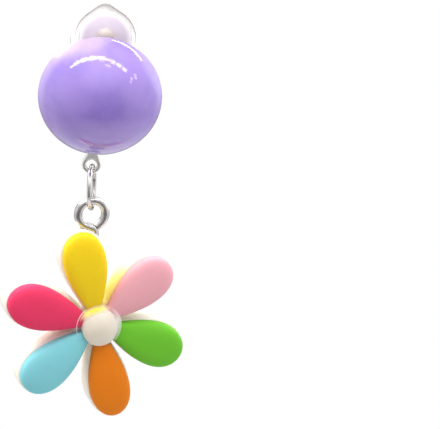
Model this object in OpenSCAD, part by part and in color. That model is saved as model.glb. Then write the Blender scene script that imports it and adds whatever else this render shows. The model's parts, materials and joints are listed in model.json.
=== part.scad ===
// Clip-on earring: a half-ball on a hinged clip, and a six-petalled flower
// that hangs under it by a jump ring and a screw eye.
// X is to the right, the face looks along -Y and Z is up. The origin is where
// the ear lobe is pinched, between the plate and the pad.

/* [Ball] */
// Width of the half-ball across its flat back
ball_w = 14; // [11:0.5:17]
// Depth of the half-ball from its flat back to its crown
ball_depth = 5; // [3:0.25:5.5]
// How far the ball is glued below the middle of the plate
ball_low = 0.8; // [0:0.1:1.5]

/* [Clip] */
// Diameter of the round plate behind the ball
plate_d = 12; // [10:0.5:13]
// Thickness of the plate and of the eye stamped with it
plate_t = 0.7; // [0.5:0.05:0.9]
// Distance from the ball's lower edge to the middle of the eye
eye_below = 1.35; // [1.1:0.05:3]
// Diameter of the hole in the eye
eye_hole_d = 1.24; // [1.1:0.02:1.6]
// Width of the metal round that hole
eye_rim = 0.46; // [0.35:0.01:0.6]
// Width of the neck that carries the eye
neck_w = 1.2; // [0.8:0.05:1.6]
// How far the clip leans to the right, as the ear holds it
clip_lean = 7; // [-12:0.5:12]

/* [Hinge] */
// Diameter of the hinge pin
pin_d = 1; // [0.8:0.05:1.2]
// Height of the pin above the plate's lower edge
pin_up = 1.2; // [1:0.05:2]
// Distance of the pin's middle behind the plate
pin_back = 1.9; // [1.7:0.05:2.4]
// Clear width between the two ears
ear_gap = 3.6; // [3:0.1:4.4]
// Thickness of each ear
ear_t = 0.5; // [0.4:0.05:0.7]
// Metal round the pin in the ears
ear_wall = 0.6; // [0.4:0.05:0.7]
// Radial clearance of the pin in the ears
pin_seat = 0.02; // [0.01:0.01:0.03]
// Radial clearance of the lever on the pin
pin_run = 0.05; // [0.03:0.01:0.08]

/* [Lever] */
// Height of the paddle's middle above the pin, when closed
grip_up = 9.65; // [8:0.05:11]
// How far the lever stands open, in degrees
lever_angle = 28; // [0:1:70]
// Thickness of the lever's metal
lever_t = 0.5; // [0.4:0.05:0.7]
// Side clearance of the lever between the ears
lever_side = 0.2; // [0.1:0.05:0.3]
// Height at which the arm's lower slope ends
bend_up = 3.2; // [2.6:0.1:4]
// Radius of the paddle's wide end
paddle_r = 3.95; // [3.6:0.05:4.6]
// Radius of the paddle's narrow upper end
paddle_tip_r = 1.9; // [1.5:0.05:2.6]
// Distance between the middles of those two ends
paddle_long = 2.5; // [2.4:0.05:3.4]
// Turn of the paddle on its arm, seen from the front
paddle_turn = 7; // [-8:1:8]
// Width of the paddle's rim
rim_w = 0.5; // [0.35:0.05:0.7]
// Height of the rim above the paddle's floor
rim_h = 0.7; // [0.4:0.05:1]

/* [Comfort pad] */
// Diameter of the pad
pad_d = 6; // [5:0.1:6.2]
// Height of the pad's straight side
pad_side = 0.6; // [0.4:0.05:1]
// Rise of the pad's dome above its side
pad_dome = 1; // [0.6:0.05:1.4]
// Diameter of the nub in the pad's middle
nub_d = 1.8; // [1.4:0.05:2.2]
// Height of the nub above the dome
nub_h = 0.8; // [0.5:0.05:0.85]
// Gap between nub and plate when the lever is closed
closed_gap = 0.6; // [0.4:0.05:1.2]

/* [Links] */
// Wire of the jump ring
ring_wire = 0.5; // [0.4:0.02:0.56]
// Outer diameter of the jump ring
ring_od = 5.3; // [4.6:0.1:6]
// How far the jump ring is turned about the vertical
ring_turn = -6; // [-15:1:10]
// Width of the closing slit in the jump ring
ring_slit = 0.08; // [0.04:0.01:0.15]
// Wire of the screw eye
loop_wire = 0.95; // [0.8:0.05:1.1]
// Outer diameter of the screw eye's loop
loop_od = 4.1; // [3.8:0.1:4.6]
// How far the loop's wire is drawn down out of its circle to the foot
foot_drop = 0.27; // [0.2:0.01:0.6]
// How far the shank stands to the right of the loop's middle
shank_side = 0.3; // [0:0.05:0.5]
// Diameter of the shank inside the flower
shank_d = 0.7; // [0.7:0.05:1]
// Length of the shank inside the flower
shank_in = 4; // [3:0.25:6]
// Gap left where the loop's wire end meets the shank
loop_slit = 0.1; // [0.05:0.01:0.15]
// Clearance where one link rests in the next
link_gap = 0.06; // [0.05:0.01:0.08]

/* [Flower] */
// How far the flower is turned about the vertical
drop_turn = 14; // [0:1:20]
// Turn of the petals in the flower's own plane
petal_turn = 9; // [6:0.1:12]
// Distance from the flower's middle to a petal's tip
petal_reach = 11.25; // [10:0.25:13]
// How much shorter each petal was cast, from the top one leftwards
petal_short = [0, 0.3, 0.3, 0, 0.7, 0.6]; // [0:0.05:0.8]
// How far each petal was set out of its sixth of a turn, in the same order
petal_off = [1.5, 0, 0, 0.8, -3, 0]; // [-4:0.1:4]
// Greatest width of each petal, in the same order
petal_w = [4.9, 5.1, 4.9, 4.6, 5.1, 4.9]; // [4:0.1:5.6]
// Height of a petal's straight side
petal_side = 0.6; // [0.4:0.05:0.9]
// Rise of a petal's pillow above its side
petal_rise = 1.1; // [0.7:0.05:1.5]
// Thickness of the white back layer
back_t = 2.8; // [2.4:0.1:3.4]
// How far the back layer stands out past the petals
back_rim = 0.25; // [0.1:0.05:0.4]
// White layer left between the shank and the petals
shank_cover = 0.4; // [0.2:0.05:0.5]
// How far the flower's top edge stands above the foot of the screw eye
foot_sunk = 0.45; // [0:0.05:0.8]
// Diameter of the white button in the middle
centre_d = 4.2; // [3.4:0.1:4.6]
// Height of the button's straight side
centre_side = 1.2; // [0.6:0.05:1.3]
// Rise of the button's dome
centre_dome = 1.1; // [0.7:0.05:1.4]

/* [Hidden] */

$fn = 64;
// Glue line between pieces that are stuck to each other
glue = 0.05;
// Overlap of shapes that are fused into one solid
bite = 0.02;
// How far a cutting shape stands out of what it cuts
cut = 1;
// Half the thickness of a pinched ear lobe
lobe_half = 1.5;
// Where the neck's sides run into the eye: as a share of the eye's radius, and
// as the turn above the middle of the eye
neck_foot = 0.97;
neck_foot_turn = 15;
// Height of the bracket soldered behind the plate, above the pin
bracket_up = 2.4;
// Thickness of the bracket's floor
bracket_t = 0.4;
// Head of the pin outside each ear, and how far it stands out past the pin
pin_head_rim = 0.25;
pin_head_t = 0.3;

plate_back_y = -lobe_half;
plate_front_y = plate_back_y - plate_t;
pin_y = plate_back_y + pin_back;
pin_z = -grip_up;
plate_z = pin_z - pin_up + plate_d / 2;
ball_z = plate_z - ball_low;
eye_z = ball_z - ball_w / 2 - eye_below;
eye_y = (plate_front_y + plate_back_y) / 2;
eye_r = eye_hole_d / 2;
pad_h = pad_side + pad_dome + nub_h;
// Front face of the paddle's floor, behind the pin, with the lever closed
floor_y = closed_gap + pad_h + glue - pin_back;

ring_r = (ring_od - ring_wire) / 2;
loop_r = (loop_od - loop_wire) / 2;
// The eye's middle after the lean
hang_x = eye_z * sin(clip_lean);
hang_z = eye_z * cos(clip_lean);
// The ring's wire lies at the bottom of the eye's hole
ring_z = hang_z - (eye_r - link_gap - ring_wire / 2) - ring_r;
// The loop's top wire rests on the ring's lowest wire
swing_z = ring_z - ring_r + ring_wire / 2 + link_gap + loop_wire / 2;
loop_z = swing_z - loop_r;
// The loop's legs are flattened by this much where the tool gripped them
leg_thin = 0.01;
// Point below the loop's middle where its two legs meet the shank
foot_down = loop_r + foot_drop;
foot_dist = sqrt(shank_side * shank_side + foot_down * foot_down);
foot_turn = atan2(shank_side, foot_down);
foot_half = acos(loop_r / foot_dist);

// A petal's outline is a teardrop: it starts under the button, and its round
// end is the tip. This power sets how slowly it widens.
drop_power = 1.2;
// Half width of that outline where it is greatest, for a factor of one
drop_wide = (1 + drop_power) / (2 + drop_power);
drop_peak = 2 * pow(drop_wide, (1 + drop_power) / 2) * sqrt(1 - drop_wide);
petal_start = 0.4;
// Middle of a petal's pillow, as a share of its reach
pillow_share = 0.64;
pillow_mid = pillow_share * petal_reach;
// Where a petal's inner end is cut off, beside the button
petal_cut = centre_d / 2 + glue;
// Where a lobe of the white layer is cut off, inside the layer's round middle
lobe_cut = 0.6;
// Fullness of the pillow: 2 is an ellipse, more is flatter on top
pillow_power = 2.6;
pillow_rings = 6;
petal_sides = 36;

petal_floor = shank_d / 2 + glue + shank_cover;
back_floor = petal_floor - back_t;
petal_seat = petal_floor + glue;
// How far the white layer's round middle stands out past the button
hub_rim = 0.5;
// Heights of the white layer's tips, the loop's foot and the loop's middle
// above the flower's middle
flower_top = petal_reach - petal_short[0] + back_rim;
foot_up = flower_top - foot_sunk;
loop_up = foot_up + foot_down;
// The loop hangs under the eye, and the flower's middle is under the shank
flower_x = hang_x + shank_side * cos(drop_turn);
flower_y = eye_y + shank_side * sin(drop_turn);
flower_z = loop_z - loop_up;

// Places its children in the clip, leaned as the ear holds it
module in_clip()
{
    rotate([0, clip_lean, 0])
        children();
}

// Places its children on the open lever: pin at the origin, arm upwards
module on_lever()
{
    in_clip()
        translate([0, pin_y, pin_z])
            rotate([-lever_angle, 0, 0])
                children();
}

// Places its children in the flower's plane: X across, Y up, Z to the front
module in_flower()
{
    translate([flower_x, flower_y, flower_z])
        rotate([0, 0, drop_turn])
            rotate([90, 0, 0])
                children();
}

// A disc of radius r and thickness t along Y, from y to y + t
module disc(r, y, t)
{
    translate([0, y + t, 0])
        rotate([90, 0, 0])
            cylinder(r = r, h = t);
}

// A cap cut from a ball: r is its flat face's radius, h its height along Z
module cap(r, h)
{
    ball_r = (r * r + h * h) / (2 * h);
    intersection() {
        translate([0, 0, h - ball_r])
            sphere(r = ball_r);
        translate([-2 * r, -2 * r, 0])
            cube([4 * r, 4 * r, 2 * h]);
    }
}

// A disc with a domed top: r is its radius, then its straight side and its dome
module domed(r, side, dome)
{
    ball_r = (r * r + dome * dome) / (2 * dome);
    intersection() {
        cylinder(r = r, h = side + 2 * dome);
        translate([0, 0, side + dome - ball_r])
            sphere(r = ball_r);
    }
}

// Round wire from p to q in the plane Z = 0
module wire(p, q, r)
{
    d = q - p;
    translate([p[0], p[1], 0])
        rotate([0, 0, atan2(d[1], d[0])])
            rotate([0, 90, 0])
                cylinder(r = r, h = norm(d));
}

// Flat egg shape: a wide end at the origin and a narrow end above it
module egg(r, tip_r, long)
{
    tilt = asin((r - tip_r) / long);
    circle(r = r);
    translate([0, long])
        circle(r = tip_r);
    polygon([
        [r * cos(tilt), r * sin(tilt)],
        [tip_r * cos(tilt), long + tip_r * sin(tilt)],
        [-tip_r * cos(tilt), long + tip_r * sin(tilt)],
        [-r * cos(tilt), r * sin(tilt)]
    ]);
}

// Which way a petal points in the flower's plane
function petal_bearing(sixth) = 90 + petal_turn + 60 * sixth + petal_off[sixth];

// Half the width of the teardrop at turn t, for the half width w
function drop_half(t, w) = w / drop_peak * sin(t) * pow(abs(sin(t / 2)), drop_power);

// Teardrop outline of one petal grown outwards by g, with n points, cut off
// at distance c
function drop_outline(sixth, n, g, c) =
    let (half = (petal_reach - petal_short[sixth] - petal_start) / 2,
         mid = petal_start + half,
         a = half + g,
         first = acos((mid - c) / a))
    [for (i = [0 : n - 1])
        let (t = first + (360 - 2 * first) * i / (n - 1))
        [mid - a * cos(t), -drop_half(t, petal_w[sixth] / 2 + g)]];

// The outline shrunk towards the pillow's middle, at height z
function pillow_ring(outline, q, z) =
    [for (p = outline) [pillow_mid + (p[0] - pillow_mid) * q, p[1] * q, z]];

module ball()
{
    color([0.66, 0.55, 0.88])
        in_clip()
            translate([0, plate_front_y - glue, ball_z])
                rotate([90, 0, 0])
                    cap(ball_w / 2, ball_depth);
}

module ear(side)
{
    r = pin_d / 2 + ear_wall;
    x = side > 0 ? ear_gap / 2 : -ear_gap / 2 - ear_t;
    translate([x, pin_y, pin_z]) {
        rotate([0, 90, 0])
            cylinder(r = r, h = ear_t);
        translate([0, -pin_back - bite, -r])
            cube([ear_t, pin_back + bite, 2 * r]);
    }
}

// Flat shape of the neck, which widens from the ball's lower edge to the eye
module neck()
{
    half = neck_w / 2;
    foot = neck_foot * (eye_r + eye_rim) * [cos(neck_foot_turn), sin(neck_foot_turn)];
    top = ball_z - ball_w / 2;
    polygon([[half, plate_z], [-half, plate_z], [-half, top], [-foot[0], eye_z + foot[1]],
             [foot[0], eye_z + foot[1]], [half, top]]);
}

module clip_base()
{
    floor_w = ear_gap + 2 * ear_t;
    ear_r = pin_d / 2 + ear_wall;
    color([0.75, 0.75, 0.77])
        in_clip()
            difference() {
                union() {
                    translate([0, 0, plate_z])
                        disc(plate_d / 2, plate_front_y, plate_t);
                    translate([0, plate_back_y, 0])
                        rotate([90, 0, 0])
                            linear_extrude(plate_t)
                                neck();
                    translate([0, 0, eye_z])
                        disc(eye_r + eye_rim, plate_front_y, plate_t);
                    translate([-floor_w / 2, plate_back_y - bite, pin_z - ear_r])
                        cube([floor_w, bracket_t + bite, ear_r + bracket_up]);
                    ear(1);
                    ear(-1);
                }
                translate([0, 0, eye_z])
                    disc(eye_r, plate_front_y - cut, plate_t + 2 * cut);
                translate([-floor_w, pin_y, pin_z])
                    rotate([0, 90, 0])
                        cylinder(r = pin_d / 2 + pin_seat, h = 2 * floor_w);
            }
}

module hinge_pin()
{
    half = ear_gap / 2 + ear_t + glue;
    head_r = pin_d / 2 + pin_head_rim;
    color([0.7, 0.7, 0.72])
        in_clip()
            translate([0, pin_y, pin_z])
                rotate([0, 90, 0]) {
                    translate([0, 0, -half])
                        cylinder(r = pin_d / 2, h = 2 * half);
                    translate([0, 0, half])
                        cylinder(r = head_r, h = pin_head_t);
                    translate([0, 0, -half - pin_head_t])
                        cylinder(r = head_r, h = pin_head_t);
                }
}

module clip_lever()
{
    width = ear_gap - 2 * lever_side;
    mid_y = floor_y + lever_t / 2;
    knuckle_r = pin_d / 2 + ear_wall;
    slope = atan2(bend_up, mid_y);
    side_y = lever_t / 2 * sin(slope);
    side_z = lever_t / 2 * cos(slope);
    color([0.78, 0.78, 0.8])
        on_lever()
            difference() {
                union() {
                    rotate([0, 0, 90])
                        rotate([90, 0, 0])
                            translate([0, 0, -width / 2])
                                linear_extrude(width) {
                                    circle(r = knuckle_r);
                                    polygon([[side_y, -side_z], [mid_y + side_y, bend_up - side_z],
                                             [mid_y - side_y, bend_up + side_z], [-side_y, side_z]]);
                                    translate([mid_y, bend_up])
                                        circle(r = lever_t / 2);
                                    translate([floor_y, bend_up])
                                        square([lever_t, grip_up - bend_up]);
                                }
                    translate([0, floor_y + lever_t, grip_up])
                        rotate([90, 0, 0])
                            linear_extrude(lever_t)
                                rotate(paddle_turn)
                                    egg(paddle_r, paddle_tip_r, paddle_long);
                    translate([0, floor_y + bite, grip_up])
                        rotate([90, 0, 0])
                            linear_extrude(rim_h + bite)
                                rotate(paddle_turn)
                                    difference() {
                                        egg(paddle_r, paddle_tip_r, paddle_long);
                                        egg(paddle_r - rim_w, paddle_tip_r - rim_w, paddle_long);
                                    }
                }
                translate([-width, 0, 0])
                    rotate([0, 90, 0])
                        cylinder(r = pin_d / 2 + pin_run, h = 2 * width);
            }
}

module comfort_pad()
{
    color([0.93, 0.9, 0.95])
        on_lever()
            translate([0, floor_y - glue, grip_up])
                rotate([90, 0, 0]) {
                    domed(pad_d / 2, pad_side, pad_dome);
                    translate([0, 0, pad_h - nub_d / 2])
                        sphere(r = nub_d / 2);
                }
}

module jump_ring()
{
    slit = 2 * asin(ring_slit / 2 / ring_r);
    color([0.8, 0.8, 0.82])
        translate([hang_x, eye_y, ring_z])
            rotate([0, 0, ring_turn])
                rotate([0, 90, 0])
                    rotate([0, 0, 90 + slit / 2])
                        rotate_extrude(angle = 360 - slit)
                            translate([ring_r, 0])
                                circle(r = ring_wire / 2);
}

module screw_eye()
{
    r = loop_wire / 2;
    first = foot_turn + foot_half - 90;
    last = foot_turn - foot_half + 270;
    foot = [shank_side, -foot_down];
    right = loop_r * [cos(first), sin(first)];
    left = loop_r * [cos(last), sin(last)];
    leg = norm(right - foot);
    right_way = (foot - right) / leg;
    left_way = (foot - left) / leg;
    color([0.78, 0.78, 0.8])
        in_flower() {
            translate([-shank_side, loop_up, 0]) {
                rotate([0, 0, first])
                    rotate_extrude(angle = last - first)
                        translate([loop_r, 0])
                            circle(r = r);
                wire(left - bite * left_way, foot, r - leg_thin);
                wire(right - bite * right_way, right + (leg - r - loop_slit) * right_way, r - leg_thin);
                translate([foot[0], foot[1], 0])
                    sphere(r = r);
            }
            translate([0, foot_up, 0])
                rotate([90, 0, 0])
                    cylinder(r = shank_d / 2, h = shank_in);
        }
}

// The white layer, with a bore for the shank and a groove for the loop's foot
module flower_back()
{
    wire_r = loop_wire / 2;
    color([0.93, 0.91, 0.87])
        in_flower()
            difference() {
                translate([0, 0, back_floor])
                    linear_extrude(back_t) {
                        circle(r = centre_d / 2 + hub_rim);
                        for (i = [0 : 5])
                            rotate(petal_bearing(i))
                                polygon(drop_outline(i, petal_sides, back_rim, lobe_cut));
                    }
                translate([0, foot_up, 0])
                    rotate([90, 0, 0])
                        cylinder(r = shank_d / 2 + glue, h = shank_in + glue);
                translate([-shank_side, loop_up, -wire_r - glue])
                    rotate([0, 0, 180 + foot_turn])
                        linear_extrude(loop_wire + 2 * glue)
                            egg(loop_r + wire_r + glue, wire_r + glue, foot_dist);
            }
}

// One coloured petal, the given number of sixths of a turn from the top one
module petal(sixth)
{
    outline = drop_outline(sixth, petal_sides, 0, petal_cut);
    n = petal_sides;
    rings = concat(
        [pillow_ring(outline, 1, 0)],
        [for (k = [0 : pillow_rings - 1])
            let (a = 90 * k / pillow_rings)
            pillow_ring(outline, pow(cos(a), 2 / pillow_power),
                        petal_side + petal_rise * pow(sin(a), 2 / pillow_power))]);
    levels = len(rings);
    points = concat([for (r = rings) each r], [[pillow_mid, 0, petal_side + petal_rise]]);
    sides = [for (k = [0 : levels - 2]) for (i = [0 : n - 1])
                let (j = (i + 1) % n)
                [k * n + i, (k + 1) * n + i, (k + 1) * n + j, k * n + j]];
    top = [for (i = [0 : n - 1]) [(levels - 1) * n + i, levels * n, (levels - 1) * n + (i + 1) % n]];
    in_flower()
        translate([0, 0, petal_seat])
            rotate(petal_bearing(sixth))
                polyhedron(points, concat([[for (i = [0 : n - 1]) i]], sides, top));
}

module petal_yellow()
{
    color([0.94, 0.82, 0.13])
        petal(0);
}

module petal_magenta()
{
    color([0.92, 0.25, 0.44])
        petal(1);
}

module petal_blue()
{
    color([0.52, 0.79, 0.83])
        petal(2);
}

module petal_orange()
{
    color([0.87, 0.5, 0.14])
        petal(3);
}

module petal_green()
{
    color([0.43, 0.75, 0.22])
        petal(4);
}

module petal_pink()
{
    color([0.91, 0.68, 0.72])
        petal(5);
}

module flower_centre()
{
    color([0.91, 0.89, 0.84])
        in_flower()
            translate([0, 0, petal_seat])
                domed(centre_d / 2, centre_side, centre_dome);
}

ball();
clip_base();
hinge_pin();
clip_lever();
comfort_pad();
jump_ring();
screw_eye();
flower_back();
petal_yellow();
petal_pink();
petal_green();
petal_orange();
petal_blue();
petal_magenta();
flower_centre();
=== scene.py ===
"""Looks of the clip-on earring: a half-ball on a hinged clip, with a flower drop.

The file is laid out as an add-on and is run as a script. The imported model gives
the places; each piece is made in metres in the same frame and rides on a body.
"""

import json
import math

import bmesh
import bpy
from mathutils import Matrix, Vector


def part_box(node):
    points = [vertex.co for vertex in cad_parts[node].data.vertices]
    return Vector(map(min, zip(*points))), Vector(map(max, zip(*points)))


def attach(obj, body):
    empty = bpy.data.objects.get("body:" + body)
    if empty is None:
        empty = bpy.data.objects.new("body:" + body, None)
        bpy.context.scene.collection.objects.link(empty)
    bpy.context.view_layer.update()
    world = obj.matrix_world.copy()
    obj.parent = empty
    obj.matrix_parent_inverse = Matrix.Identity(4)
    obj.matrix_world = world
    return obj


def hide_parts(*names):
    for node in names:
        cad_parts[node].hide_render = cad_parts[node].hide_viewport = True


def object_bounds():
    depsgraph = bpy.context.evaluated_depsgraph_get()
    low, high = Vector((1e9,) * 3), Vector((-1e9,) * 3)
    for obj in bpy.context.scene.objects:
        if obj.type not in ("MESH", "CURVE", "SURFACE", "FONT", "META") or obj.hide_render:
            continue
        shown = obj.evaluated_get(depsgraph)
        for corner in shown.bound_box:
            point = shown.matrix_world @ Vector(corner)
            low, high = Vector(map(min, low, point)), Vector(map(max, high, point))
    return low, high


bl_info = {
    "name": "Clip-on flower earring",
    "version": (1, 0, 0),
    "blender": (4, 5, 0),
    "location": "3D View > Sidebar > Earring",
    "description": "Makes a half-ball clip earring with a six-petalled flower drop",
    "category": "Object",
}

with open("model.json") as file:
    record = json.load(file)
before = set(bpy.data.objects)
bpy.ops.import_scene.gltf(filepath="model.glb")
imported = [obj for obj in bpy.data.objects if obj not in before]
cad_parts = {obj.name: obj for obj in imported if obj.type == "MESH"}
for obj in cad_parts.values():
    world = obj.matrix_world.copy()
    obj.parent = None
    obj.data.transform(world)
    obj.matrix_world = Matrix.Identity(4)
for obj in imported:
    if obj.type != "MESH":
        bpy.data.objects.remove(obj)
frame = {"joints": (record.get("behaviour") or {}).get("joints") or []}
CAD_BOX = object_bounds()
JOINTS = {joint["name"]: joint for joint in frame["joints"]}
MM = 0.001
# Clear width left between pieces that are stuck together
GLUE_LINE = 0.05 * MM
# The petals, anticlockwise from the top one: the colours of the middle, of the rim, which is painted edge
# light, and of the inner end, which is a painted highlight; by how many millimetres each was cast shorter
# and wider; and by how many degrees it was set out of its sixth of a turn
PETALS = {
    "yellow": (("f3cf1e", "dfc428", "fff040"), 0, 0, 1.5),
    "magenta": (("e33a60", "f2477c", "d8466e"), 0.3, 0.2, 0),
    "blue": (("7cc3cd", "93dbe2", "8fc4d0"), 0.3, 0, 0),
    "orange": (("dc7618", "eb8d1c", "d86f12"), 0, -0.3, 0.8),
    "green": (("64b430", "82d43a", "86c45c"), 0.7, 0.2, -3),
    "pink": (("e8a6b0", "efb4be", "eba4a4"), 0.6, 0, 0),
}
PETAL_PARTS = {"": "middle", "_edge": "rim", "_inner": "inner end"}
PETAL_SHORT = [petal[1] * MM for petal in PETALS.values()]
PETAL_WIDER = [petal[2] * MM for petal in PETALS.values()]
PETAL_OFF = [math.radians(petal[3]) for petal in PETALS.values()]
# The power sets how slowly a petal's teardrop widens; the peak is its greatest half width
DROP_POWER = 1.2
DROP_WIDE = (1 + DROP_POWER) / (2 + DROP_POWER)
DROP_PEAK = 2 * DROP_WIDE ** ((1 + DROP_POWER) / 2) * math.sqrt(1 - DROP_WIDE)
# Painted bounce light on the white layer, tinted by a petal beside it: bearing in degrees, distance from
# the flower's middle and reach in millimetres, and the petal whose colour it takes
PAINTED_BOUNCES = ((69, 4.4, 4.2, "yellow"), (189, 4.6, 4.0, "magenta"))
# Rings of the glue round the button: distance out from its side and height above its
# seat in millimetres, nearness to the button, and 1 for the bead's outer lip
GLUE_BEAD = (
    (-0.3, 0.6, 1.0, 0.0),
    (0.62, 0.6, 0.0, 0.0),
    (0.62, 1.04, 0.0, 0.0),
    (0.56, 1.16, 0.1, 1.0),
    (0.46, 1.22, 0.15, 0.0),
    (0.2, 1.38, 0.45, 0.0),
    (-0.1, 1.56, 0.8, 0.0),
    (-0.35, 1.66, 1.0, 0.0),
)
# The arch of lights that the ball reflects: its left and right foot and its top, as right,
# up and towards the camera, and the thickness of each of its panels in metres
ARCH_LEFT = Vector((-0.746, 0.524, 0.411))
ARCH_RIGHT = Vector((0.716, 0.444, 0.538))
ARCH_TOP = Vector((-0.134, 0.814, 0.566))
ARCH = (0.04, 0.09, 0.055, 0.1, 0.06, 0.1, 0.075, 0.1, 0.055, 0.095, 0.075, 0.06)
# Other panels: where each stands and which way its long side lies, given as right, up
# and towards the camera; its distance and its two sides in metres; and its watts
PANELS = {
    "rim_left": ((-0.6, 0.72, -0.4), (1, 0.6, 0), 0.8, (0.4, 0.3), 0.7),
    "rim_right": ((0.55, 0.83, -0.16), (1, -0.6, 0), 0.8, (0.62, 0.07), 1.4),
    "glint_high": ((0.876, 0.314, 0.365), (0.3, 1, 0), 0.7, (0.1, 0.06), 0.08),
    "glint_low": ((0.82, 0.227, 0.524), (0.6, 1, 0), 0.7, (0.12, 0.05), 0.08),
    "glint_mid": ((0.226, 0.638, 0.737), (1, -0.4, 0), 0.7, (0.12, 0.04), 0.07),
}
# What the panels look at: the middle between the ball and the links
LIT_SPOT = Vector((0, 0, -0.012))
# The even glow of the tent round the earring, and what it loses low in front
TENT_GLOW = 0.41
TENT_DUSK = 0.22
# Where else the tent glows more, or less: the direction as right, up and towards the
# camera, the two cosines between which the change sets in, and its strength
TENT = (
    ((0, 0.75, 0.66), 0.5, 0.95, 1.3),
    ((-0.36, 0.9, -0.17), 0.74, 1.0, 3.4),
    ((0.74, 0.42, -0.52), 0.82, 0.98, 1.8),
    ((1, 0, 0), 0.45, 1.0, 0.6),
    ((-1, 0, 0), 0.45, 1.0, 0.6),
    ((0, 0, -1), 0.55, 0.9, -0.2),
)
# Turns a shape that was made along Z to the front
TO_FRONT = Matrix.Rotation(math.pi / 2, 4, "X")
# Turns a flat outline of (back, up) points sideways, so that it is thick from left to right
TO_SIDE = Matrix(((0, 0, 1, 0), (1, 0, 0, 0), (0, 1, 0, 0), (0, 0, 0, 1)))


def length(name, description, millimetres):
    """A length that a user can set, given here in millimetres"""
    return bpy.props.FloatProperty(
        name=name,
        description=description,
        default=millimetres * MM,
        min=0.0,
        precision=5,
        subtype="DISTANCE",
        unit="LENGTH",
    )


def turn(name, description, degrees):
    """An angle that a user can set, given here in degrees"""
    return bpy.props.FloatProperty(
        name=name, description=description, default=math.radians(degrees), subtype="ANGLE"
    )


def tint(name, description, code):
    """A colour that a user can set, given here as six hexadecimal digits"""
    parts = [int(code[k : k + 2], 16) / 255 for k in (0, 2, 4)]
    linear = [p / 12.92 if p <= 0.04045 else ((p + 0.055) / 1.055) ** 2.4 for p in parts]
    return bpy.props.FloatVectorProperty(
        name=name, description=description, default=linear, min=0.0, max=1.0, size=3, subtype="COLOR"
    )


class BallSettings(bpy.types.PropertyGroup):
    """Sizes and colours of the half-ball"""

    edge: length("Edge", "Rounding between the flat back and the dome", 0.1)
    lavender: tint("Lavender", "Main colour of the plastic", "9b81cf")
    # The colour below is painted light: the glow along the ball's edges
    pale: tint("Pale lavender", "Colour where the plastic is thin, at its edges", "d8c8f4")
    deep: tint("Deep lavender", "Colour of the darker clouds in the plastic", "8b73c4")


class ClipSettings(bpy.types.PropertyGroup):
    """Sizes and colours of the clip"""

    metal: tint("Metal", "Colour of the plating", "f4f2f0")
    tarnish: tint("Tarnish", "Colour of the plating where it is dull", "bdb7b0")
    soft_edge: length("Soft edge", "Rounding of the stamped metal's edges", 0.12)
    plate_d: length("Plate", "Diameter of the round plate", 11.8)
    plate_t: length("Plate thickness", "Thickness of the plate and its eye", 0.7)
    plate_up: length("Plate height", "Height of the plate's middle above the pin", 4.8)
    eye_hole_d: length("Eye hole", "Diameter of the hole in the eye", 1.24)
    eye_rim: length("Eye rim", "Width of the metal round that hole", 0.46)
    neck_w: length("Neck", "Width of the neck where it comes out from under the ball", 1.2)
    neck_top: length("Neck top", "Height above the eye where the neck starts to flare", 1.35)
    pin_back: length("Pin behind plate", "Distance from the plate's back to the pin's middle", 1.9)
    pin_d: length("Pin", "Diameter of the hinge pin", 1)
    ear_gap: length("Ear gap", "Clear width between the hinge's ears", 3.6)
    ear_t: length("Ear", "Thickness of each ear", 0.5)
    ear_wall: length("Ear wall", "Metal round the pin", 0.6)
    head_out: length("Rivet head", "How far the pin's heads stand out past its shaft", 0.25)
    head_t: length("Head thickness", "How far the heads reach past the ears", 0.35)
    head_edge: length("Head edge", "Rounding of the heads", 0.2)
    bracket_up: length("Bracket", "Height of the soldered bracket above the pin", 2.4)
    bracket_t: length("Bracket floor", "Thickness of the bracket's floor", 0.4)
    lever_t: length("Lever", "Thickness of the lever's metal", 0.5)
    lever_side: length("Lever clearance", "Clearance of the lever at each ear", 0.2)
    floor_back: length("Paddle floor", "Distance from the pin back to the paddle's floor", 1.15)
    bend_up: length("Lever bend", "Height of the arm's bend above the pin", 3.2)
    arm_bend: length("Bend radius", "Radius of that bend", 1.2)
    grip_up: length("Paddle height", "Height of the paddle's middle above the pin", 9.65)
    paddle_r: length("Paddle", "Radius of the paddle's wide end", 3.95)
    paddle_tip_r: length("Paddle tip", "Radius of the paddle's narrow end", 1.9)
    paddle_long: length("Paddle length", "Distance between the middles of its two ends", 2.5)
    paddle_turn: turn("Paddle turn", "Turn of the paddle on its arm, seen from the front", 7)
    rim_w: length("Rim width", "Width of the paddle's rim", 0.5)
    rim_h: length("Rim height", "Height of the rim above the paddle's floor", 0.7)


class PadSettings(bpy.types.PropertyGroup):
    """Sizes and colours of the comfort pad"""

    rubber: tint("Rubber", "Colour of the milky rubber", "b4a9b7")
    deep: tint("Deep rubber", "Colour of its darker clouds", "afa3b3")
    warm: tint("Warm rubber", "Colour of the nub, where the rubber is thick", "ada19f")
    # Painted light mixed with the metal showing through: the edge colour below lightens the pad towards
    # its edge
    thin: tint("Thin rubber", "Colour of the edge, where the metal shows through", "ece6ee")
    width: length("Width", "Diameter of the pad", 6)
    side: length("Side", "Height of the pad's straight side", 0.6)
    dome: length("Dome", "Rise of the dome above that side", 1)
    nub_d: length("Nub", "Diameter of the nub", 1.8)
    nub_h: length("Nub height", "Height of the nub above the dome", 0.8)
    fillet: length("Fillet", "Rounding between the dome and the nub", 0.25)


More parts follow.
